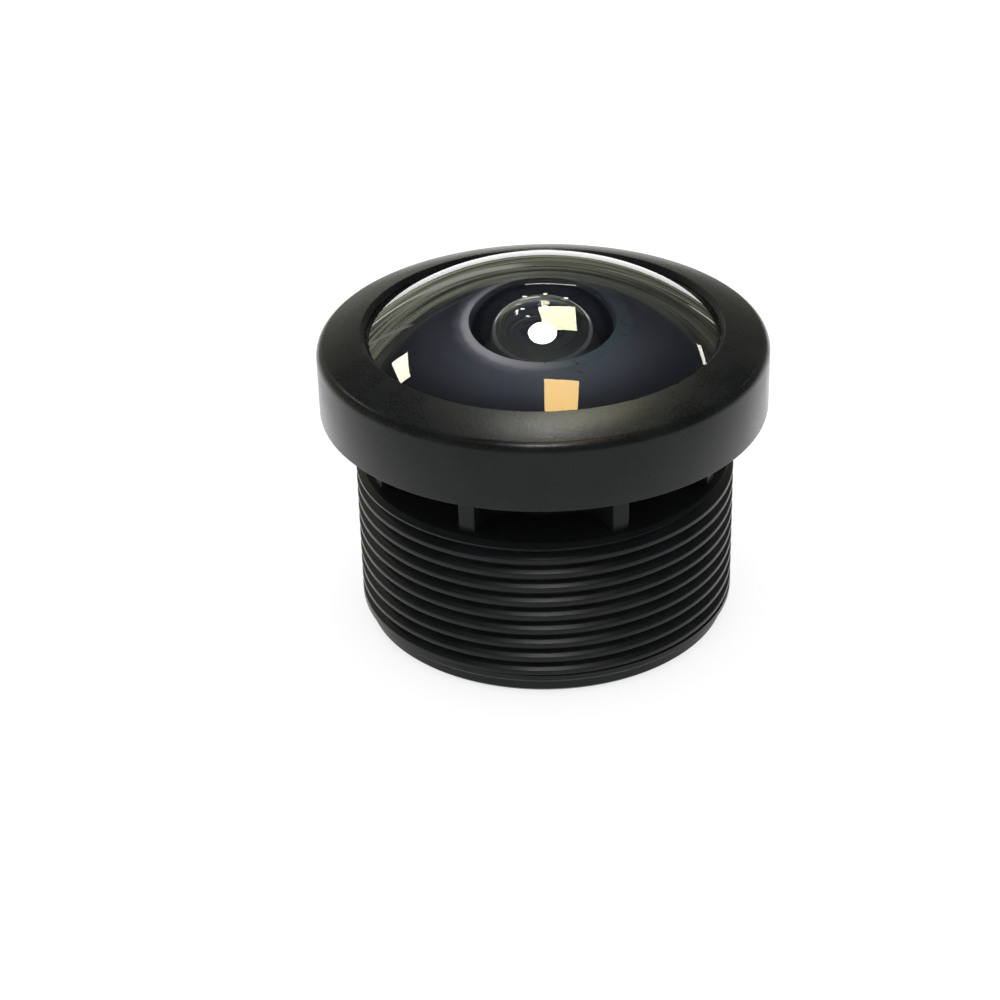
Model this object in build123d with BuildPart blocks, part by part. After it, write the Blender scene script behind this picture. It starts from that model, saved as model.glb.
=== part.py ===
from build123d import *
import math
import os

os.makedirs("parts", exist_ok=True)

# Wide-angle lens with an M12 x 0.5 thread. The origin is the centre of the rear face,
# +Z runs along the optical axis to the front glass, and all sizes are in millimetres.

# Threaded length, as the cylinder that the crests of the M12 x 0.5 thread lie on
thread_radius = 6.0
thread_length = 5.0
thread_lead_in = 0.15
thread_top_chamfer = 0.15

# Barrel behind and in front of the thread
relief_height = 0.40
relief_step = 0.20
rear_edge_chamfer = 0.10
neck_height = 1.85
neck_core_radius = 4.2
rib_pairs = 4
rib_half_angle = 24.25
rib_width = 0.54
rib_setback = 0.35
rib_root_fillet = 0.80
rib_turn = -0.60
head_wall_thickness = 0.62
head_base_height = 1.20
head_wall_height = 0.40

# Front glass
front_element_radius = 5.85
front_rim_height = 0.83
dome_curve = 9.40
hollow_radius = 1.92
hollow_curve = 2.30
hollow_land = 0.25
hollow_land_drop = 0.12
rim_chamfer = 0.15

# Retaining cap
cap_wall_thickness = 0.50
cap_overhang = 0.10
cap_edge_fillet = 0.22
cap_foot_chamfer = 0.08
cap_cone_angle = 17.6
lip_overlap = 0.35
mouth_bevel_width = 0.14
mouth_bevel_height = 0.17

# Seal under the front glass
seal_edge_margin = 0.40
seal_width = 0.70
seal_height = 0.50
seal_corner = 0.15
seal_side_clearance = 0.05

# Clearances
glass_clearance = 0.03
cap_clearance = 0.03
cement_gap = 0.01

# Lens stack: rim radii, polished apertures, curves, centre or rim thicknesses
rear_bore_radius = 3.03
front_bore_step = 0.40
foil_thickness = 0.06
front_shield_aperture = 1.30
second_aperture = 2.00
second_rear_curve = 3.20
second_centre_height = 0.298
second_shield_aperture = 2.10
third_aperture = 2.20
third_front_curve = 5.00
third_rear_curve = 7.50
third_rim_height = 0.70
stop_aperture = 1.15
doublet_aperture = 2.20
doublet_front_curve = 12.0
doublet_cement_curve = 4.60
doublet_rear_curve = 4.60
doublet_front_centre = 0.35
doublet_rear_rim_height = 0.60
rear_aperture = 2.20
rear_front_curve = 5.60
rear_rear_curve = 12.0
rear_rim_height = 0.60
spacer_bore_margin = 0.15
air_gap = 0.12

# Rear end
filter_radius = 3.70
filter_thickness = 0.30
filter_seat_height = 0.35
filter_seat_width = 1.25
retainer_land = 0.70
retainer_lip_width = 0.80
retainer_height = 0.50
retainer_recess = 0.05
retainer_slot_width = 0.60
retainer_slot_depth = 0.30


def sag(curve_radius, height):
    """Depth of a spherical surface at a height from its axis."""
    return curve_radius - math.sqrt(curve_radius**2 - height**2)


def lens_section(rear_z, front_z, outer_radius, aperture, rear_rise, front_rise):
    """Half section of a lens with a flat rim; each rise lifts that surface's centre above its rim."""
    rear_centre = (0, rear_z + rear_rise)
    front_centre = (0, front_z + front_rise)
    with BuildLine() as outline:
        TangentArc(rear_centre, (aperture, rear_z), tangent=(1, 0))
        Polyline(
            (aperture, rear_z), (outer_radius, rear_z), (outer_radius, front_z), (aperture, front_z)
        )
        TangentArc(front_centre, (aperture, front_z), tangent=(1, 0))
        Line(front_centre, rear_centre)
    make_face(outline.edges())


def ring_section(inner_radius, outer_radius, rear_z, front_z):
    """Half section of a plain flat ring."""
    with BuildLine() as outline:
        Polyline(
            (inner_radius, rear_z),
            (outer_radius, rear_z),
            (outer_radius, front_z),
            (inner_radius, front_z),
            close=True,
        )
    make_face(outline.edges())


# Heights along the barrel
thread_bottom = relief_height
thread_top = thread_bottom + thread_length
neck_top = thread_top + neck_height
front_seat = neck_top + head_base_height
head_top = front_seat + head_wall_height

# Radii around the front glass, from the glass outwards
head_bore_radius = front_element_radius + glass_clearance
head_radius = head_bore_radius + head_wall_thickness
cap_bore_radius = head_radius + cap_clearance
cap_radius = cap_bore_radius + cap_wall_thickness
mouth_radius = front_element_radius - lip_overlap
lip_radius = mouth_radius + mouth_bevel_width
seal_outer_radius = front_element_radius - seal_edge_margin
seal_inner_radius = seal_outer_radius - seal_width

# Heights on the front glass and the cap
dome_edge = front_seat + front_rim_height
dome_centre = dome_edge - math.sqrt(dome_curve**2 - front_element_radius**2)
dome_apex = dome_centre + dome_curve
mouth_bottom = dome_centre + math.sqrt(dome_curve**2 - mouth_radius**2) + glass_clearance
lip_height = mouth_bottom + mouth_bevel_height
cap_foot = neck_top - cap_overhang
cap_corner = lip_height - (cap_radius - lip_radius) * math.tan(math.radians(cap_cone_angle))

# Heights of the lens stack below the front glass
front_shield_rear = front_seat - foil_thickness
second_front = front_shield_rear
second_sag = sag(second_rear_curve, second_aperture)
second_rear = second_front - second_centre_height - second_sag
second_shield_rear = second_rear - foil_thickness

# Heights of the lens stack above the rear seat
retainer_rear = retainer_recess
retainer_front = retainer_rear + retainer_height
filter_front = retainer_front + filter_thickness
rear_rear_rise = -sag(rear_rear_curve, rear_aperture)
rear_seat = filter_front + filter_seat_height
rear_front = rear_seat + rear_rim_height
rear_front_rise = sag(rear_front_curve, rear_aperture)
doublet_rear_rise = -sag(doublet_rear_curve, doublet_aperture)
rear_spacer_front = rear_front + rear_front_rise - doublet_rear_rise + air_gap
doublet_rear_seat = rear_spacer_front + foil_thickness
doublet_joint = doublet_rear_seat + doublet_rear_rim_height
cement_rise = sag(doublet_cement_curve, doublet_aperture)
doublet_front_rise = -sag(doublet_front_curve, doublet_aperture)
doublet_front_rear = doublet_joint + cement_gap
doublet_front = doublet_front_rear + cement_rise + doublet_front_centre - doublet_front_rise
stop_front = doublet_front + foil_thickness
third_rear_rise = -sag(third_rear_curve, third_aperture)
third_rear = stop_front - third_rear_rise + air_gap
third_front = third_rear + third_rim_height
third_front_rise = sag(third_front_curve, third_aperture)

# Radii of the bores and the stack
front_bore_radius = rear_bore_radius + front_bore_step
front_stack_radius = front_bore_radius - glass_clearance
rear_stack_radius = rear_bore_radius - glass_clearance
filter_bore_radius = filter_radius + glass_clearance
filter_window_radius = filter_radius - filter_seat_width
retainer_radius = filter_radius + retainer_land
retainer_recess_radius = retainer_radius + glass_clearance
retainer_bore_radius = filter_radius - retainer_lip_width

# Radii outside, where the ribs' root fillets leave a straight end on the shortest rib
relief_radius = thread_radius - relief_step
rib_radius = thread_radius - rib_setback
root_fillet = min(rib_root_fillet, 0.9 * (rib_radius - neck_core_radius))

# Barrel: relief band, threaded length, slim neck core and head flange in one turned profile
with BuildPart() as barrel:
    with BuildSketch(Plane.XZ):
        with BuildLine():
            Polyline(
                (0, 0),
                (relief_radius - rear_edge_chamfer, 0),
                (relief_radius, rear_edge_chamfer),
                (relief_radius, thread_bottom),
                (thread_radius - thread_lead_in, thread_bottom),
                (thread_radius, thread_bottom + thread_lead_in),
                (thread_radius, thread_top - thread_top_chamfer),
                (thread_radius - thread_top_chamfer, thread_top),
                (neck_core_radius, thread_top),
                (neck_core_radius, neck_top),
                (head_radius, neck_top),
                (head_radius, head_top),
                (0, head_top),
                close=True,
            )
        make_face()
    revolve(axis=Axis.Z)

    # Ribs that bridge the open neck in pairs, with rounded roots on the core
    with BuildSketch(Plane.XY.offset(thread_top)) as neck_section:
        with PolarLocations(0, rib_pairs, start_angle=rib_turn - 90):
            for side in (-1, 1):
                with Locations(Rotation(0, 0, side * rib_half_angle)):
                    with Locations((rib_radius / 2, 0)):
                        Rectangle(rib_radius, rib_width)
        Circle(rib_radius, mode=Mode.INTERSECT)
        Circle(neck_core_radius)
        fillet(neck_section.vertices().group_by(SortBy.DISTANCE)[0], root_fillet)
    extrude(amount=neck_height)

    # Stepped bore, from the retainer's recess in the rear face to the front glass's seat
    with BuildSketch(Plane.XZ):
        with BuildLine():
            Polyline(
                (0, 0),
                (retainer_recess_radius, 0),
                (retainer_recess_radius, retainer_front),
                (filter_bore_radius, retainer_front),
                (filter_bore_radius, filter_front),
                (filter_window_radius, filter_front),
                (filter_window_radius, rear_seat),
                (rear_bore_radius, rear_seat),
                (rear_bore_radius, third_front),
                (front_bore_radius, third_front),
                (front_bore_radius, front_seat),
                (head_bore_radius, front_seat),
                (head_bore_radius, head_top),
                (0, head_top),
                close=True,
            )
        make_face()
    revolve(axis=Axis.Z, mode=Mode.SUBTRACT)

    # Groove for the seal, open to the glass's seat
    with BuildSketch(Plane.XY.offset(front_seat)):
        Circle(seal_outer_radius + seal_side_clearance)
        Circle(seal_inner_radius - seal_side_clearance, mode=Mode.SUBTRACT)
    extrude(amount=-seal_height, mode=Mode.SUBTRACT)
barrel.part.label = "barrel"
export_step(barrel.part, "parts/barrel.step")

# Front glass: domed front, cylindrical rim, flat blackened land and a small hollow behind
hollow_centre_height = front_seat + sag(hollow_curve, hollow_radius) + hollow_land_drop
with BuildPart() as front_element:
    with BuildSketch(Plane.XZ):
        with BuildLine():
            TangentArc((0, dome_apex), (front_element_radius, dome_edge), tangent=(1, 0))
            Polyline(
                (front_element_radius, dome_edge),
                (front_element_radius, front_seat + rim_chamfer),
                (front_element_radius - rim_chamfer, front_seat),
                (hollow_radius + hollow_land, front_seat),
                (hollow_radius, front_seat + hollow_land_drop),
            )
            TangentArc(
                (0, hollow_centre_height),
                (hollow_radius, front_seat + hollow_land_drop),
                tangent=(1, 0),
            )
            Line((0, hollow_centre_height), (0, dome_apex))
        make_face()
    revolve(axis=Axis.Z)
front_element.part.label = "front_element"
export_step(front_element.part, "parts/front_element.step")

# Cap: skirt over the head flange, conical top, bevelled mouth that bears on the dome
cap_ceiling = head_top + cap_clearance
rim_bore_radius = front_element_radius + cap_clearance
with BuildPart() as front_cap:
    with BuildSketch(Plane.XZ) as cap_section:
        with BuildLine():
            Polyline(
                (cap_bore_radius, cap_foot),
                (cap_radius - cap_foot_chamfer, cap_foot),
                (cap_radius, cap_foot + cap_foot_chamfer),
                (cap_radius, cap_corner),
                (lip_radius, lip_height),
                (mouth_radius, mouth_bottom),
                (rim_bore_radius, dome_edge + cap_clearance),
                (rim_bore_radius, cap_ceiling),
                (cap_bore_radius, cap_ceiling),
                close=True,
            )
        make_face()
        outer_corners = cap_section.vertices().group_by(Axis.X)[-1]
        fillet(outer_corners.sort_by(Axis.Y)[-1], cap_edge_fillet)
    revolve(axis=Axis.Z)
front_cap.part.label = "front_cap"
export_step(front_cap.part, "parts/front_cap.step")

# Seal ring, squeezed flat in its groove
with BuildPart() as front_seal_ring:
    with BuildSketch(Plane.XZ) as seal_section:
        with Locations((seal_inner_radius + seal_width / 2, front_seat - seal_height / 2)):
            Rectangle(seal_width, seal_height)
        chamfer(seal_section.vertices(), seal_corner)
    revolve(axis=Axis.Z)
front_seal_ring.part.label = "front_seal_ring"
export_step(front_seal_ring.part, "parts/front_seal_ring.step")

# Foil under the front glass
with BuildPart() as front_light_shield:
    with BuildSketch(Plane.XZ):
        ring_section(front_shield_aperture, front_stack_radius, front_shield_rear, front_seat)
    revolve(axis=Axis.Z)
front_light_shield.part.label = "front_light_shield"
export_step(front_light_shield.part, "parts/front_light_shield.step")

# Second element: flat in front, hollow to the rear
second_hollow_centre = (0, second_rear + second_sag)
with BuildPart() as second_element:
    with BuildSketch(Plane.XZ):
        with BuildLine():
            TangentArc(second_hollow_centre, (second_aperture, second_rear), tangent=(1, 0))
            Polyline(
                (second_aperture, second_rear),
                (front_stack_radius, second_rear),
                (front_stack_radius, second_front),
                (0, second_front),
                second_hollow_centre,
            )
        make_face()
    revolve(axis=Axis.Z)
second_element.part.label = "second_element"
export_step(second_element.part, "parts/second_element.step")

# Foil behind the second element
with BuildPart() as second_light_shield:
    with BuildSketch(Plane.XZ):
        ring_section(second_shield_aperture, front_stack_radius, second_shield_rear, second_rear)
    revolve(axis=Axis.Z)
second_light_shield.part.label = "second_light_shield"
export_step(second_light_shield.part, "parts/second_light_shield.step")

# Spacer that fills the length left between the front and the rear stacks
with BuildPart() as front_spacer:
    with BuildSketch(Plane.XZ):
        ring_section(
            third_aperture + spacer_bore_margin, front_stack_radius, third_front, second_shield_rear
        )
    revolve(axis=Axis.Z)
front_spacer.part.label = "front_spacer"
export_step(front_spacer.part, "parts/front_spacer.step")

# Third element: bulges on both sides
with BuildPart() as third_element:
    with BuildSketch(Plane.XZ):
        lens_section(
            third_rear,
            third_front,
            rear_stack_radius,
            third_aperture,
            third_rear_rise,
            third_front_rise,
        )
    revolve(axis=Axis.Z)
third_element.part.label = "third_element"
export_step(third_element.part, "parts/third_element.step")

# Spacer between the third element and the stop
with BuildPart() as middle_spacer:
    with BuildSketch(Plane.XZ):
        ring_section(third_aperture + spacer_bore_margin, rear_stack_radius, stop_front, third_rear)
    revolve(axis=Axis.Z)
middle_spacer.part.label = "middle_spacer"
export_step(middle_spacer.part, "parts/middle_spacer.step")

# Fixed aperture stop
with BuildPart() as aperture_stop:
    with BuildSketch(Plane.XZ):
        ring_section(stop_aperture, rear_stack_radius, doublet_front, stop_front)
    revolve(axis=Axis.Z)
aperture_stop.part.label = "aperture_stop"
export_step(aperture_stop.part, "parts/aperture_stop.step")

# Cemented pair, front half: hollow on both sides
with BuildPart() as doublet_front_element:
    with BuildSketch(Plane.XZ):
        lens_section(
            doublet_front_rear,
            doublet_front,
            rear_stack_radius,
            doublet_aperture,
            cement_rise,
            doublet_front_rise,
        )
    revolve(axis=Axis.Z)
doublet_front_element.part.label = "doublet_front_element"
export_step(doublet_front_element.part, "parts/doublet_front_element.step")

# Cemented pair, rear half: bulges into the front half and towards the rear
with BuildPart() as doublet_rear_element:
    with BuildSketch(Plane.XZ):
        lens_section(
            doublet_rear_seat,
            doublet_joint,
            rear_stack_radius,
            doublet_aperture,
            doublet_rear_rise,
            cement_rise,
        )
    revolve(axis=Axis.Z)
doublet_rear_element.part.label = "doublet_rear_element"
export_step(doublet_rear_element.part, "parts/doublet_rear_element.step")

# Foil behind the cemented pair
with BuildPart() as rear_light_shield:
    with BuildSketch(Plane.XZ):
        ring_section(
            doublet_aperture + spacer_bore_margin,
            rear_stack_radius,
            rear_spacer_front,
            doublet_rear_seat,
        )
    revolve(axis=Axis.Z)
rear_light_shield.part.label = "rear_light_shield"
export_step(rear_light_shield.part, "parts/rear_light_shield.step")

# Spacer in front of the rear element
with BuildPart() as rear_spacer:
    with BuildSketch(Plane.XZ):
        ring_section(
            doublet_aperture + spacer_bore_margin, rear_stack_radius, rear_front, rear_spacer_front
        )
    revolve(axis=Axis.Z)
rear_spacer.part.label = "rear_spacer"
export_step(rear_spacer.part, "parts/rear_spacer.step")

# Rear element
with BuildPart() as rear_element:
    with BuildSketch(Plane.XZ):
        lens_section(
            rear_seat,
            rear_front,
            rear_stack_radius,
            rear_aperture,
            rear_rear_rise,
            rear_front_rise,
        )
    revolve(axis=Axis.Z)
rear_element.part.label = "rear_element"
export_step(rear_element.part, "parts/rear_element.step")

# Coated filter plate in its seat
with BuildPart() as ir_cut_filter:
    with BuildSketch(Plane.XY.offset(retainer_front)):
        Circle(filter_radius)
    extrude(amount=filter_thickness)
ir_cut_filter.part.label = "ir_cut_filter"
export_step(ir_cut_filter.part, "parts/ir_cut_filter.step")

# Ring behind the filter, with two driver slots
with BuildPart() as rear_retainer:
    with BuildSketch(Plane.XY.offset(retainer_rear)):
        Circle(retainer_radius)
        Circle(retainer_bore_radius, mode=Mode.SUBTRACT)
    extrude(amount=retainer_height)
    with BuildSketch(Plane.XY.offset(retainer_rear)):
        Rectangle(2 * retainer_radius + retainer_slot_width, retainer_slot_width)
    extrude(amount=retainer_slot_depth, mode=Mode.SUBTRACT)
rear_retainer.part.label = "rear_retainer"
export_step(rear_retainer.part, "parts/rear_retainer.step")
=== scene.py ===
import math

import bmesh
import bpy
from mathutils import Matrix, Vector


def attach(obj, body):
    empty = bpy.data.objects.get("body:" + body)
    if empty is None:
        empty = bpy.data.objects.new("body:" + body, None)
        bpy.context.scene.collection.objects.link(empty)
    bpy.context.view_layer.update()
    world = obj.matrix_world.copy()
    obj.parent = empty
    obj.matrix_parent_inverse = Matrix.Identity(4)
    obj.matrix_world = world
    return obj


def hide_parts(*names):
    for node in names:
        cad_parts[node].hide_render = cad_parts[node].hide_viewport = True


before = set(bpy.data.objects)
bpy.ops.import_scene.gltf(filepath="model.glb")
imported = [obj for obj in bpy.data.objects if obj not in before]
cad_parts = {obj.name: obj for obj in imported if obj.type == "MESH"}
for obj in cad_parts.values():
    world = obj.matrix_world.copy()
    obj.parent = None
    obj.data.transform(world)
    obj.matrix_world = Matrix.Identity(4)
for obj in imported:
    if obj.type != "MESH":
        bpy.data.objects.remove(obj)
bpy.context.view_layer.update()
mm = 0.001
print("frame loaded, nodes:", len(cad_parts))


class Field:
    # one output socket, whose operators add Math nodes behind it
    def __init__(self, finish, socket):
        self.finish = finish
        self.socket = socket

    def maths(self, operation, first, second=0.0):
        return self.finish.node("ShaderNodeMath", {"operation": operation}, {0: first, 1: second})

    def __add__(self, other):
        return self.maths("ADD", self, other)

    def __radd__(self, other):
        return self.maths("ADD", other, self)

    def __sub__(self, other):
        return self.maths("SUBTRACT", self, other)

    def __rsub__(self, other):
        return self.maths("SUBTRACT", other, self)

    def __mul__(self, other):
        return self.maths("MULTIPLY", self, other)

    def __rmul__(self, other):
        return self.maths("MULTIPLY", other, self)

    def __truediv__(self, other):
        return self.maths("DIVIDE", self, other)

    def __pow__(self, other):
        return self.maths("POWER", self, other)

    def above(self, other):
        return self.maths("GREATER_THAN", self, other)

    def largest(self, other):
        return self.maths("MAXIMUM", self, other)

    def ramp(self, low, high):
        # 0 below low, 1 above high, smooth between them
        return self.finish.node(
            "ShaderNodeMapRange",
            {"interpolation_type": "SMOOTHSTEP"},
            {"Value": self, "From Min": low, "From Max": high},
        )


class Finish:
    # a material's or the world's node tree
    def __init__(self, name, world=None):
        if world is None:
            self.material = bpy.data.materials.new(name)
            self.material.use_nodes = True
            self.tree = self.material.node_tree
            self.shader = self.tree.nodes["Principled BSDF"]
            self.output = self.tree.nodes["Material Output"]
        else:
            world.use_nodes = True
            self.tree = world.node_tree
            self.tree.nodes.clear()
            self.output = self.tree.nodes.new("ShaderNodeOutputWorld")

    def node(self, kind, settings=None, values=None, output=0):
        made = self.tree.nodes.new(kind)
        for key, value in (settings or {}).items():
            setattr(made, key, value)
        for key, value in (values or {}).items():
            self.feed(made.inputs[key], value)
        return Field(self, made.outputs[output])

    def feed(self, socket, value):
        if isinstance(value, Field):
            self.tree.links.new(value.socket, socket)
        elif isinstance(value, tuple) and len(value) == 3 and socket.type == "RGBA":
            socket.default_value = (*value, 1.0)
        else:
            socket.default_value = value

    def set(self, **values):
        for key, value in values.items():
            self.feed(self.shader.inputs[key.replace("_", " ")], value)

    def place(self):
        return self.node("ShaderNodeTexCoord", output="Object")

    def axes(self, vector):
        split = self.node("ShaderNodeSeparateXYZ", values={0: vector}).socket.node
        return [Field(self, output) for output in split.outputs]

    def noise(self, scale, detail=2.0, roughness=0.5, vector=None):
        values = {"Scale": scale, "Detail": detail, "Roughness": roughness}
        values["Vector"] = vector or self.place()
        return self.node("ShaderNodeTexNoise", values=values)

    def mix(self, factor, first, second):
        values = {0: factor, 6: first, 7: second}
        return self.node("ShaderNodeMix", {"data_type": "RGBA"}, values, output=2)

    def bump(self, height, distance, strength=1.0):
        return self.node(
            "ShaderNodeBump", values={"Height": height, "Distance": distance, "Strength": strength}
        )

    def show(self, shader):
        self.tree.links.new(shader.socket, self.output.inputs[0])

    def paintOver(self, factor, colour, roughness):
        # paint on a lens: a second, opaque shader where factor is 1
        clear = Field(self, self.shader.outputs[0])
        values = {"Base Color": colour, "Roughness": roughness, "Specular IOR Level": 0.12}
        opaque = self.node("ShaderNodeBsdfPrincipled", values=values)
        self.show(self.node("ShaderNodeMixShader", values={0: factor, 1: clear, 2: opaque}))


def wire(shape, points, closed=False):
    # vertices in the XZ plane, joined by edges
    made = [shape.verts.new((r * mm, 0, z * mm)) for r, z in points]
    for first, second in zip(made, made[1:]):
        shape.edges.new((first, second))
    if closed:
        shape.edges.new((made[-1], made[0]))
    return made


def roundCorner(shape, vertex, offset, segments):
    bmesh.ops.bevel(
        shape,
        geom=[vertex],
        offset=offset * mm,
        offset_type="OFFSET",
        segments=segments,
        profile=0.5,
        affect="VERTICES",
        material=-1,
    )


def sweep(shape, start, centre, axis, angle, steps):
    # one vertex swept round a centre leaves an arc and returns its last vertex
    made = bmesh.ops.spin(
        shape, geom=[start], cent=centre, axis=axis, angle=angle, steps=steps
    )["geom_last"]
    return [g for g in made if isinstance(g, bmesh.types.BMVert)][0]


def turn(shape, steps):
    # the profile goes once round the optical axis and closes on itself
    bmesh.ops.spin(
        shape,
        geom=shape.verts[:] + shape.edges[:],
        cent=(0, 0, 0),
        axis=(0, 0, 1),
        angle=math.tau,
        steps=steps,
        use_merge=True,
    )
    bmesh.ops.remove_doubles(shape, verts=shape.verts, dist=0.0005 * mm)
    axisEdges = [e for e in shape.edges if not e.link_faces]
    bmesh.ops.delete(shape, geom=axisEdges, context="EDGES")
    bmesh.ops.recalc_face_normals(shape, faces=shape.faces)


def finishPiece(shape, name, finish, node, sharpAngle=30):
    openEdges = sum(1 for e in shape.edges if len(e.link_faces) != 2)
    print(name, "faces:", len(shape.faces), "open edges:", openEdges)
    mesh = bpy.data.meshes.new(name)
    shape.to_mesh(mesh)
    shape.free()
    mesh.shade_smooth()
    mesh.set_sharp_from_angle(angle=math.radians(sharpAngle))
    piece = bpy.data.objects.new(name, mesh)
    bpy.context.scene.collection.objects.link(piece)
    mesh.materials.append(finish.material)
    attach(piece, "root")
    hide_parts(node)
    return piece


def blackFinish(name, colour, grain, roughness, relief, level=0.25, sheen=0.0):
    # anodised or blackened surface with a fine grain and faint clouds
    finish = Finish(name)
    fine = finish.noise(grain, 3.0, 0.6)
    cloud = finish.noise(grain * 0.07, 2.0, 0.5)
    shade = (fine * 0.55 + cloud * 0.45).ramp(0.32, 0.70)
    finish.set(
        Base_Color=finish.mix(shade, colour, tuple(c * 2.1 for c in colour)),
        Roughness=roughness - 0.04 + 0.08 * shade,
        Normal=finish.bump(fine, relief * mm, 0.5),
    )
    finish.set(Specular_IOR_Level=level, Sheen_Weight=sheen, Sheen_Roughness=0.35)
    return finish


capFinish = blackFinish("capBlack", (0.0056, 0.0064, 0.0066), 11000, 0.29, 0.006, 0.13, 0.08)
barrelFinish = blackFinish("barrelBlack", (0.0058, 0.0064, 0.0070), 14000, 0.38, 0.004, 0.13, 0.06)
retainerFinish = blackFinish("retainerBlack", (0.010, 0.010, 0.011), 12000, 0.42, 0.006)
spacerFinish = blackFinish("spacerBlack", (0.004, 0.004, 0.0045), 12000, 0.6, 0.006)
foilFinish = blackFinish("foilBlack", (0.006, 0.006, 0.0065), 12000, 0.5, 0.004)
sealFinish = blackFinish("sealRubber", (0.008, 0.008, 0.008), 8000, 0.7, 0.010)
print("black finishes made")


barrelShape = {
    # thread: crest and root flats along the axis, groove depth, where its helix starts and ends
    "crestRadius": 6.0, "pitch": 0.5, "depth": 0.26, "crestFlat": 0.14, "rootFlat": 0.06,
    "crestRounding": 0.02, "phase": 147, "helixFoot": 0.72, "top": 5.40, "topChamfer": 0.15,
    "stepsPerTurn": 160, "turns": 13,
    # from the thread's foot over the rear face, up the stepped bore and over the head
    "profile": [
        (6.0, 0.71), (6.0, 0.55), (5.85, 0.40), (5.80, 0.40), (5.80, 0.10), (5.70, 0.0), (4.43, 0.0),
        (4.43, 0.55), (3.73, 0.55), (3.73, 0.85), (2.45, 0.85), (2.45, 1.20), (3.03, 1.20),
        (3.03, 5.924), (3.43, 5.924), (3.43, 8.445), (5.88, 8.445), (5.88, 8.85), (6.50, 8.85),
        (6.50, 7.25), (4.05, 7.25), (4.05, 5.40),
    ],
}


def extrudeRing(shape, ring, radius, height):
    made = bmesh.ops.extrude_edge_only(shape, edges=ring)["geom"]
    for vertex in [g for g in made if isinstance(g, bmesh.types.BMVert)]:
        factor = radius * mm / math.hypot(vertex.co.x, vertex.co.y)
        vertex.co = (vertex.co.x * factor, vertex.co.y * factor, height * mm)
    return [g for g in made if isinstance(g, bmesh.types.BMEdge)]


def openRing(shape, height):
    return [
        e
        for e in shape.edges
        if len(e.link_faces) == 1 and all(abs(v.co.z - height * mm) < 1e-7 for v in e.verts)
    ]


def makeBarrel():
    s = barrelShape
    shape = bmesh.new()
    crest, root, pitch = s["crestRadius"], s["crestRadius"] - s["depth"], s["pitch"]
    mouth, floor = (pitch - s["crestFlat"]) / 2, s["rootFlat"] / 2
    start = 0.40 - 2 * pitch - pitch * s["phase"] / 360
    made = wire(shape, [
        (crest, start - pitch / 2), (crest, start - mouth), (root, start - floor),
        (root, start + floor), (crest, start + mouth), (crest, start + pitch / 2),
    ])
    for corner in (made[1], made[4]):
        roundCorner(shape, corner, s["crestRounding"], 2)
    bmesh.ops.spin(
        shape,
        geom=shape.verts[:] + shape.edges[:],
        cent=(0, 0, 0),
        axis=(0, 0, 1),
        dvec=(0, 0, pitch * mm / s["stepsPerTurn"]),
        angle=math.tau * s["turns"],
        steps=s["stepsPerTurn"] * s["turns"],
    )
    bmesh.ops.remove_doubles(shape, verts=shape.verts, dist=0.001 * mm)
    for height, side, cut in (
        (s["helixFoot"], -1, True), (s["top"], 1, True), (s["top"] - s["topChamfer"], 1, False),
    ):
        bmesh.ops.bisect_plane(
            shape,
            geom=shape.verts[:] + shape.edges[:] + shape.faces[:],
            plane_co=(0, 0, height * mm),
            plane_no=(0, 0, side),
            clear_outer=cut,
            dist=1e-9,
        )
    for vertex in shape.verts:  # the last crest runs out on the top chamfer
        limit = crest - s["topChamfer"] + s["top"] - vertex.co.z / mm
        reach = math.hypot(vertex.co.x, vertex.co.y) / mm
        if reach > limit:
            vertex.co.x *= limit / reach
            vertex.co.y *= limit / reach
    topRing = openRing(shape, s["top"])
    ring = openRing(shape, s["helixFoot"])
    for radius, height in s["profile"]:
        ring = extrudeRing(shape, ring, radius, height)
    bmesh.ops.bridge_loops(shape, edges=ring + topRing)
    return shape


neckShape = {
    "coreRadius": 4.2, "innerRadius": 3.8, "ribRadius": 5.65, "ribWidth": 0.54, "ribAngle": 24.25,
    "rootFillet": 0.80, "ribCorner": 0.04, "turn": -0.60, "foot": 5.38, "top": 7.27,
}


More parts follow.
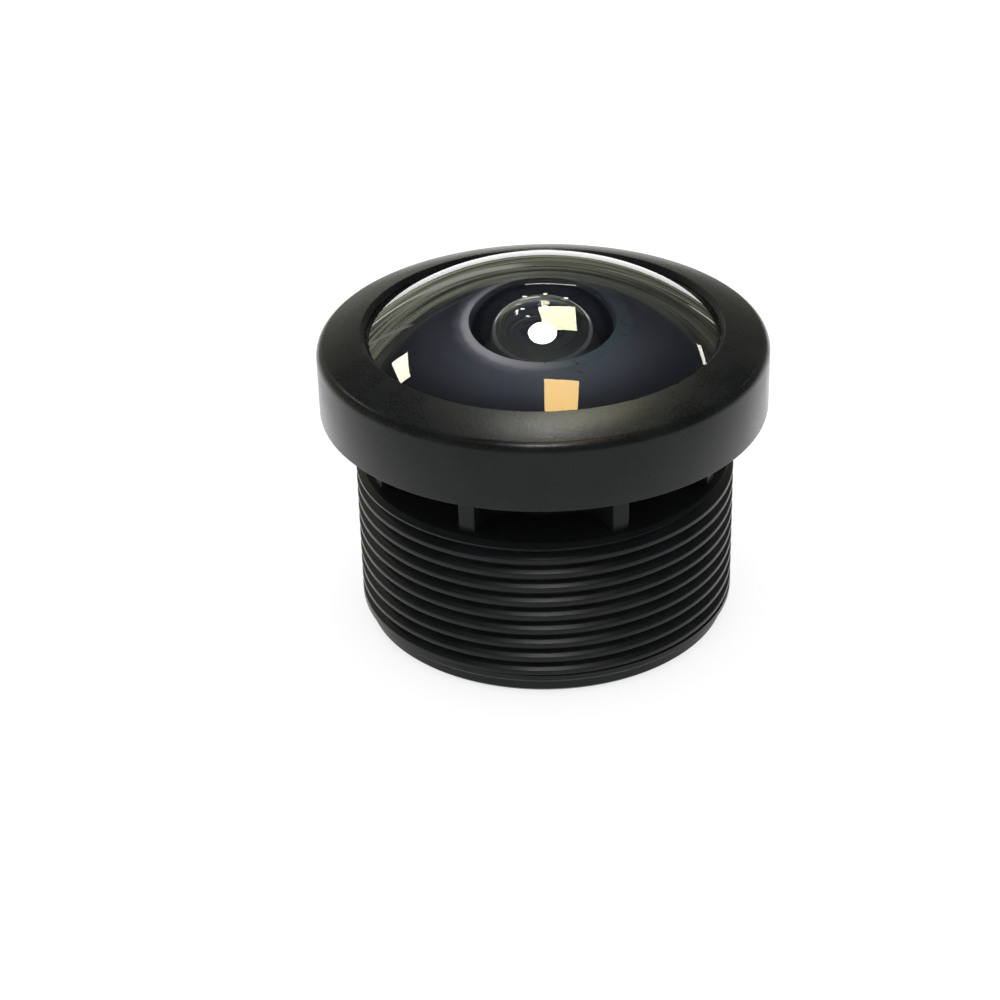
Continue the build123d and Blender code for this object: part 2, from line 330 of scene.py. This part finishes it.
def makeNeck():
    # an eighth of the ribbed section, mirrored, repeated four times and drawn up into a sleeve
    s = neckShape
    shape = bmesh.new()
    axis = (0, 0, 1)
    half = s["ribWidth"] / 2
    away = s["coreRadius"] + s["rootFillet"]
    lean = math.asin((half + s["rootFillet"]) / away)
    rib = math.radians(s["ribAngle"])
    swing = math.pi / 2 - lean

    def about(distance, angle):
        return Vector((distance * math.cos(angle) * mm, distance * math.sin(angle) * mm, 0))

    last = sweep(shape, shape.verts.new(about(s["coreRadius"], 0)), (0, 0, 0), axis, rib - lean, 8)
    last = sweep(shape, last, about(away, rib - lean), axis, -swing, 10)
    sideEnd = math.asin(half / s["ribRadius"])
    corner = shape.verts.new(about(s["ribRadius"], rib - sideEnd))
    shape.edges.new((last, corner))
    farCorner = sweep(shape, corner, (0, 0, 0), axis, 2 * sideEnd, 6)
    footReach = math.hypot(away * math.cos(lean), half)
    foot = shape.verts.new(about(footReach, rib + math.asin(half / footReach)))
    shape.edges.new((farCorner, foot))
    last = sweep(shape, foot, about(away, rib + lean), axis, -swing, 10)
    sweep(shape, last, (0, 0, 0), axis, math.pi / 4 - rib - lean, 6)
    for vertex in (corner, farCorner):
        roundCorner(shape, vertex, s["ribCorner"], 3)
    bmesh.ops.mirror(shape, geom=shape.verts[:] + shape.edges[:], merge_dist=0.001 * mm, axis="Y")
    first = Matrix.Rotation(math.radians(s["turn"] - 90), 3, "Z")
    bmesh.ops.rotate(shape, cent=(0, 0, 0), matrix=first, verts=shape.verts)
    bmesh.ops.spin(
        shape,
        geom=shape.verts[:] + shape.edges[:],
        cent=(0, 0, 0),
        axis=axis,
        angle=math.tau * 3 / 4,
        steps=3,
        use_duplicate=True,
    )
    bmesh.ops.remove_doubles(shape, verts=shape.verts, dist=0.002 * mm)
    bmesh.ops.translate(shape, vec=(0, 0, s["foot"] * mm), verts=shape.verts)
    footRing = shape.edges[:]
    made = bmesh.ops.extrude_edge_only(shape, edges=footRing)["geom"]
    top = [g for g in made if isinstance(g, bmesh.types.BMVert)]
    topRing = [g for g in made if isinstance(g, bmesh.types.BMEdge)]
    bmesh.ops.translate(shape, vec=(0, 0, (s["top"] - s["foot"]) * mm), verts=top)
    ring = extrudeRing(shape, footRing, s["innerRadius"], s["foot"])
    ring = extrudeRing(shape, ring, s["innerRadius"], s["top"])
    bmesh.ops.bridge_loops(shape, edges=ring + topRing)
    return shape


def join(shape, other):
    mesh = bpy.data.meshes.new("joined")
    other.to_mesh(mesh)
    other.free()
    shape.from_mesh(mesh)
    bpy.data.meshes.remove(mesh)
    bmesh.ops.recalc_face_normals(shape, faces=shape.faces)


barrel = makeBarrel()
join(barrel, makeNeck())
finishPiece(barrel, "threadedBarrel", barrelFinish, "barrel")


capShape = {
    "inside": [(6.53, 8.88), (6.53, 7.15)],
    "foot": (7.03, 7.15),
    "footRounding": 0.07,
    "crease": (7.03, 9.304),
    "creaseRounding": 0.25,
    "lip": (5.64, 9.745),
    "lipRounding": 0.03,
    "mouth": (5.50, 9.575),
    "seat": [(5.88, 9.31), (5.88, 8.88)],
    "steps": 288,
}


def makeCap():
    s = capShape
    shape = bmesh.new()
    points = s["inside"] + [s["foot"], s["crease"], s["lip"], s["mouth"]] + s["seat"]
    made = wire(shape, points, closed=True)
    roundCorner(shape, made[2], s["footRounding"], 3)
    roundCorner(shape, made[3], s["creaseRounding"], 8)
    roundCorner(shape, made[4], s["lipRounding"], 3)
    turn(shape, s["steps"])
    return shape


finishPiece(makeCap(), "capRing", capFinish, "front_cap", 25)


def glassFinish(name, index, tint):
    # clear glass with a trace of dust in its tint and polish
    finish = Finish(name)
    dust = finish.noise(5000, 2.0, 0.5)
    finish.set(
        Base_Color=finish.mix(dust.ramp(0.55, 0.9), tint, tuple(0.96 * c for c in tint)),
        Roughness=0.01 * dust,
        Transmission_Weight=1.0,
        IOR=index,
    )
    return finish


frontGlassShape = {
    "radius": 5.85, "seat": 8.455, "rim": 9.28, "curve": 9.40, "chamfer": 0.15,
    "hollowRadius": 1.92, "hollowCurve": 2.30, "land": 0.25, "landDrop": 0.12, "steps": 256,
}


def frontGlassFinish():
    # clear dome, blackened rim and rear border, and a pale ring at the hollow that is partly the ground
    # land's own tone and partly painted glow, brighter towards the front and the left
    s = frontGlassShape
    finish = glassFinish("frontGlass", 1.62, (0.93, 0.96, 1.0))
    x, y, z = finish.axes(finish.place())
    reach = (x * x + y * y) ** 0.5 / mm
    height = z / mm
    nearHollow = 1 - reach.ramp(2.05, 2.20)
    skin = 0.03  # how far inside an edge its paint already counts
    border = (1 - height.above(s["seat"] + s["chamfer"])) * reach.above(s["hollowRadius"] - 0.004)
    rim = reach.above(s["radius"] - skin) * (1 - height.above(s["rim"] - 0.005))
    towardsFront = (0.5 - 0.5 * y / (reach * mm + 1e-6)) * 0.75 + 0.25
    side = 0.5 - 0.5 * x / (reach * mm + 1e-6)
    speckle = finish.noise(2600, 3.0, 0.65)
    # painted glow: the pale ring at the hollow is made lighter towards the front and the left, on top of
    # the land's own paler tone
    paleLandAndGlowMask = (1 - (reach + 0.25 * speckle - 0.12).ramp(1.95, 2.45)) * towardsFront
    # haze is painted glow: the black paint is made lighter near the hollow and strongly towards the
    # front
    haze = (1 - reach.ramp(2.1, 4.4)) * towardsFront**3
    paleLandAndGlow = finish.mix(side.ramp(0.3, 0.8), (0.06, 0.09, 0.10), (0.22, 0.22, 0.26))
    paleLandAndGlow = finish.mix(nearHollow * side**2, paleLandAndGlow, (0.66, 0.66, 0.76))
    paint = finish.mix(haze * 0.8, (0.011, 0.012, 0.017), (0.12, 0.14, 0.185))
    pits = speckle.ramp(0.62, 0.70) * (1 - reach.ramp(2.3, 3.0)) * (1 - side.ramp(0.55, 0.9))
    colour = finish.mix(pits * 0.8, finish.mix(paleLandAndGlowMask, paint, paleLandAndGlow), (0.006, 0.008, 0.010))
    finish.paintOver(border.largest(rim), colour, 0.7)
    return finish


def sagOf(curve, reach):
    return curve - math.sqrt(curve**2 - reach**2)


def dish(shape, apex, curve, reach, steps):
    # half the section of a spherical surface from the axis out; a negative curve is hollow
    start = shape.verts.new((0, 0, apex * mm))
    return sweep(shape, start, (0, 0, (apex - curve) * mm), (0, 1, 0), math.asin(reach / curve), steps)


def makeFrontGlass():
    s = frontGlassShape
    shape = bmesh.new()
    domeApex = s["rim"] + sagOf(s["curve"], s["radius"])
    dish(shape, domeApex, s["curve"], s["radius"], 56)
    landTop = s["seat"] - 0.005 + s["landDrop"]
    wire(shape, [
        (s["radius"], s["rim"]),
        (s["radius"], s["seat"] + s["chamfer"]),
        (s["radius"] - s["chamfer"], s["seat"]),
        (s["hollowRadius"] + s["land"], s["seat"]),
        (s["hollowRadius"], landTop),
    ])
    hollowApex = landTop + sagOf(s["hollowCurve"], s["hollowRadius"])
    dish(shape, hollowApex, s["hollowCurve"], s["hollowRadius"], 36)
    bmesh.ops.remove_doubles(shape, verts=shape.verts, dist=0.0005 * mm)
    turn(shape, s["steps"])
    return shape


finishPiece(makeFrontGlass(), "frontGlass", frontGlassFinish(), "front_element", 20)

innerLenses = {
    # aperture and rim radius, rear and front rim heights, rear and front rise at the centre, index
    "second_element": ("secondLens", 2.00, 3.40, 7.39, 8.39, 0.702, 0.0, 1.50),
    "third_element": ("thirdLens", 2.20, 3.00, 5.224, 5.924, -0.330, 0.510, 1.75),
    "doublet_front_element": ("pairFrontLens", 2.20, 3.00, 3.60, 4.714, 0.560, -0.203, 1.80),
    "doublet_rear_element": ("pairRearLens", 2.20, 3.00, 2.99, 3.59, -0.560, 0.560, 1.60),
    "rear_element": ("rearLens", 2.20, 3.00, 1.20, 1.80, -0.203, 0.450, 1.60),
}


def lensSurface(shape, aperture, rimHeight, rise):
    if rise == 0:
        wire(shape, [(0, rimHeight), (aperture, rimHeight)])
        return
    curve = math.copysign((aperture**2 + rise**2) / (2 * abs(rise)), rise)
    dish(shape, rimHeight + rise, curve, aperture, 28)


def makeInnerLens(aperture, radius, rear, front, rearRise, frontRise):
    shape = bmesh.new()
    lensSurface(shape, aperture, rear, rearRise)
    wire(shape, [(aperture, rear), (radius, rear), (radius, front), (aperture, front)])
    lensSurface(shape, aperture, front, frontRise)
    bmesh.ops.remove_doubles(shape, verts=shape.verts, dist=0.0005 * mm)
    turn(shape, 160)
    return shape


def secondLensFinish(name, index):
    # dark tinted lens, blackened outside a small clear window, with a painted glint as a narrow pale
    # line in the paint, brightest towards the rear
    finish = glassFinish(name, index, (0.30, 0.29, 0.25))
    window, line = 0.80, 1.10
    x, y = finish.axes(finish.place())[:2]
    reach = (x * x + y * y) ** 0.5 / mm
    # painted glint: the pale line is made brighter towards the rear
    back = (0.5 + 0.5 * y / (reach * mm + 1e-6)).ramp(0.45, 1.0)
    glint = reach.ramp(line - 0.015, line) * (1 - reach.ramp(line + 0.01, line + 0.03))
    grain = finish.noise(4000, 3.0, 0.6)
    zone = finish.mix(reach.above(line), (0.016, 0.016, 0.013), (0.010, 0.012, 0.015))
    face = finish.mix(grain.ramp(0.35, 0.7), zone, (0.020, 0.020, 0.022))
    colour = finish.mix(glint * (0.05 + 0.6 * back), face, (0.42, 0.40, 0.36))
    finish.paintOver(reach.above(window), colour, 0.5)
    return finish


for node, (name, *sizes, index) in innerLenses.items():
    if node == "second_element":
        lensFinish = secondLensFinish(name, index)
    else:
        lensFinish = glassFinish(name, index, (0.93, 0.96, 0.93))
    finishPiece(makeInnerLens(*sizes), name, lensFinish, node, 20)

filterFinish = glassFinish("filterGlass", 1.52, (0.62, 0.86, 0.84))
plainNodes = {
    "front_seal_ring": sealFinish,
    "front_light_shield": foilFinish,
    "second_light_shield": foilFinish,
    "aperture_stop": foilFinish,
    "rear_light_shield": foilFinish,
    "front_spacer": spacerFinish,
    "middle_spacer": spacerFinish,
    "rear_spacer": spacerFinish,
    "ir_cut_filter": filterFinish,
    "rear_retainer": retainerFinish,
}
for node, finish in plainNodes.items():
    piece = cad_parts[node]
    piece.data.materials.clear()
    piece.data.materials.append(finish.material)
print("inner pieces dressed")


def addStage(shape, name, finish):
    mesh = bpy.data.meshes.new(name)
    shape.to_mesh(mesh)
    shape.free()
    mesh.materials.append(finish.material)
    thing = bpy.data.objects.new(name, mesh)
    bpy.context.scene.collection.objects.link(thing)
    return thing


floorSetup = {"radius": 0.16, "seenByCamera": 0.70, "seenInGloss": 1.25}


def makeFloor():
    # a white sheet that camera and gloss see white and the lens shades
    s = floorSetup
    shape = bmesh.new()
    bmesh.ops.create_circle(shape, cap_ends=True, segments=64, radius=s["radius"])
    finish = Finish("whiteSheet")
    camera = finish.node("ShaderNodeLightPath", output="Is Camera Ray")
    gloss = finish.node("ShaderNodeLightPath", output="Is Glossy Ray")
    fibres = finish.noise(900, 3.0, 0.6)
    white = finish.mix(fibres, (0.49, 0.49, 0.49), (0.51, 0.51, 0.51))
    finish.set(Base_Color=white, Roughness=0.9, Specular_IOR_Level=0.1)
    inside = finish.node("ShaderNodeLightPath", output="Is Transmission Ray")
    strength = (camera * s["seenByCamera"]).largest(gloss * (1 - 0.8 * inside) * s["seenInGloss"])
    finish.set(Emission_Color=(1.0, 1.0, 1.0), Emission_Strength=strength)
    addStage(shape, "whiteSheet", finish)


makeFloor()

roomSetup = {
    # what polished surfaces mirror, by elevation in degrees
    "haze": (0.46, 0.475, 0.34),
    "dark": (0.055, 0.060, 0.075),
    "ceiling": (0.19, 0.205, 0.245),
    "hazeTop": (22, 33),
    # bright shelf edges: azimuth and elevation of both ends, half width, strength
    "edges": [
        ((-25, 3), (-13, 9), 1.0, 2.2),
        ((-18, 8), (-3, 11), 4.0, 1.1),
        ((-28, 8), (-15, 12), 1.0, 0.8),
        ((-34, 13), (-31, 25), 1.0, 1.1),
        ((22, 7), (27, 5), 1.0, 2.0),
        ((8, 9), (22, 4), 1.0, 0.6),
    ],
}


def edgeMask(finish, azimuth, elevation, start, end, width):
    # 1 on the straight edge from start to end, fading at its sides and ends
    along = Vector((end[0] - start[0], end[1] - start[1]))
    length = along.length
    along.normalize()
    u = (azimuth - start[0]) * along.x + (elevation - start[1]) * along.y
    v = (elevation - start[1]) * along.x - (azimuth - start[0]) * along.y
    inside = u.ramp(-0.15 * length, 0.15 * length) * (1 - u.ramp(0.85 * length, 1.15 * length))
    return (1 - v.maths("ABSOLUTE", v).ramp(0.3 * width, width)) * inside


def makeRoom():
    s = roomSetup
    world = bpy.data.worlds.new("room")
    bpy.context.scene.world = world
    finish = Finish("room", world)
    direction = finish.node("ShaderNodeTexCoord", output="Generated")
    x, y, z = finish.axes(direction)
    azimuth = x.maths("ARCTAN2", x, y) * math.degrees(1)
    elevation = z.maths("ARCSINE", z) * math.degrees(1)
    drift = finish.node("ShaderNodeCombineXYZ", values={0: azimuth * 0.02, 1: elevation * 0.32, 2: 0.0})
    streak = finish.noise(1.0, 5.0, 0.65, drift)
    cloudAxes = {0: azimuth * 0.06, 1: elevation * 0.10, 2: 3.0}
    cloudPlace = finish.node("ShaderNodeCombineXYZ", values=cloudAxes)
    cloud = finish.noise(1.0, 2.0, 0.5, cloudPlace)
    light = streak.ramp(0.36, 0.62) * 1.55 + 0.12
    inside = finish.node("ShaderNodeLightPath", output="Is Transmission Ray")
    side = 1.35 - 0.85 * azimuth.ramp(-25, 20)  # brighter on the left
    scale = light * (0.55 + 0.75 * cloud) * (1 - 0.6 * inside) * side
    grey = finish.node("ShaderNodeCombineXYZ", values={0: scale, 1: scale, 2: scale})
    haze = finish.node("ShaderNodeVectorMath", {"operation": "MULTIPLY"}, {0: s["haze"], 1: grey})
    high = (elevation + 3 * cloud).ramp(*s["hazeTop"])
    colour = finish.mix(high, haze, finish.mix(inside, s["dark"], s["ceiling"]))
    for start, end, width, strength in s["edges"]:
        mask = edgeMask(finish, azimuth, elevation, start, end, width)
        colour = finish.mix(mask, colour, (strength, strength, 0.92 * strength))
    diffuse = finish.node("ShaderNodeLightPath", output="Is Diffuse Ray")
    camera = finish.node("ShaderNodeLightPath", output="Is Camera Ray")
    plain = finish.mix(diffuse, colour, (0.90, 0.90, 0.90))
    seen = finish.mix(camera, plain, (1.0, 1.0, 1.0))
    background = finish.node("ShaderNodeBackground", values={0: seen, 1: 1.0})
    finish.show(background)


makeRoom()

lampTable = {
    # elevation and azimuth, half width and height, turn (all in degrees), taper, colour,
    # strength, corners
    "roundLamp": ((62, 0), (4, 6), 0, 0, (1.0, 1.0, 0.96), 36, 20),
    "frontLamp": ((66, 182), (4, 4), 0, 0, (1.0, 1.0, 1.0), 150, 20),
    "window": ((53, 7), (4.5, 7), 12, 0, (1.0, 0.98, 0.66), 14, 4),
    "lampBar": ((44, 1), (1, 1), 0, 0, (1.0, 0.97, 0.70), 8, 4),
    "leftWindow": ((37, -52), (6.5, 2.4), 36, 0.3, (1.0, 0.98, 0.78), 14, 4),
    "rightWindow": ((27, 45), (4.5, 0.6), -24, 0, (1.0, 1.0, 0.86), 8, 4),
    "tube": ((30, 2), (5, 0.3), 0, 0, (1.0, 1.0, 0.95), 5, 4),
}
spotSetup = {"places": [(38, 1), (39, -5), (40, 7), (47, -7), (52, -6)], "size": 0.6, "strength": 12}
for spotIndex, spotPlace in enumerate(spotSetup["places"]):
    spotSize = (spotSetup["size"], spotSetup["size"])
    spotColour = (1.0, 1.0, 0.92)
    lampTable[f"spot{spotIndex + 1}"] = (spotPlace, spotSize, 0, 0, spotColour, spotSetup["strength"], 8)
# the warm panel lies flat over the lens: centre, half sides and height in metres
warmPanel = {"centre": (0.105, -0.035), "half": (0.10, 0.125), "height": 1.0}
lensCentre = Vector((0, 0, 10 * mm))


def facing(elevation, azimuth):
    e, a = math.radians(elevation), math.radians(azimuth)
    return Vector((math.sin(a) * math.cos(e), math.cos(a) * math.cos(e), math.sin(e)))


def addLamp(shape, name, colour, strength):
    finish = Finish(name)
    glow = finish.node("ShaderNodeEmission", values={0: colour, 1: strength})
    finish.show(glow)
    lamp = addStage(shape, name, finish)
    lamp.visible_camera = False
    lamp.visible_diffuse = False


def unitPanel(corners):
    # a disc of unit radius, or an upright square of unit half sides
    shape = bmesh.new()
    bmesh.ops.create_circle(shape, cap_ends=True, segments=corners, radius=1.0)
    if corners == 4:
        quarter = Matrix.Rotation(math.radians(45), 3, "Z")
        bmesh.ops.rotate(shape, cent=(0, 0, 0), matrix=quarter, verts=shape.verts)
        bmesh.ops.scale(shape, vec=(math.sqrt(2), math.sqrt(2), 1), verts=shape.verts)
    return shape


for name, (place, (width, height), tilt, taper, colour, strength, corners) in lampTable.items():
    lampShape = unitPanel(corners)
    for vertex in lampShape.verts:  # the end on the left narrows
        vertex.co.y *= 1 - taper * (1 + vertex.co.x) / 2
    size = (math.tan(math.radians(width)), math.tan(math.radians(height)), 1)
    bmesh.ops.scale(lampShape, vec=size, verts=lampShape.verts)
    direction = facing(*place)
    aim = direction.to_track_quat("Z", "Y").to_matrix()
    swing = aim @ Matrix.Rotation(math.radians(tilt), 3, "Z")
    bmesh.ops.rotate(lampShape, cent=(0, 0, 0), matrix=swing, verts=lampShape.verts)
    bmesh.ops.translate(lampShape, vec=lensCentre + direction, verts=lampShape.verts)
    addLamp(lampShape, name, colour, strength)
panelShape = unitPanel(4)
bmesh.ops.scale(panelShape, vec=(*warmPanel["half"], 1), verts=panelShape.verts)
panelPlace = lensCentre + Vector((*warmPanel["centre"], warmPanel["height"]))
bmesh.ops.translate(panelShape, vec=panelPlace, verts=panelShape.verts)
addLamp(panelShape, "warmPanel", (1.0, 0.66, 0.24), 15)
print("sheet, room and lamps made")

cameraSetup = {
    # place in mm, turn in degrees, focal length in mm on a sensor 36 mm wide
    "place": (0.0, -67.26, 42.95),
    "turn": (59.59, 1.33, 0.46),
    "lens": 87.12,
}
cameraData = bpy.data.cameras.new("camera")
cameraData.sensor_width = 36
cameraData.lens = cameraSetup["lens"]
cameraData.clip_start = 0.002
camera = bpy.data.objects.new("camera", cameraData)
camera.location = Vector(cameraSetup["place"]) * mm
camera.rotation_euler = [math.radians(a) for a in cameraSetup["turn"]]
bpy.context.scene.collection.objects.link(camera)
bpy.context.scene.camera = camera
bpy.context.scene.view_settings.view_transform = "Standard"
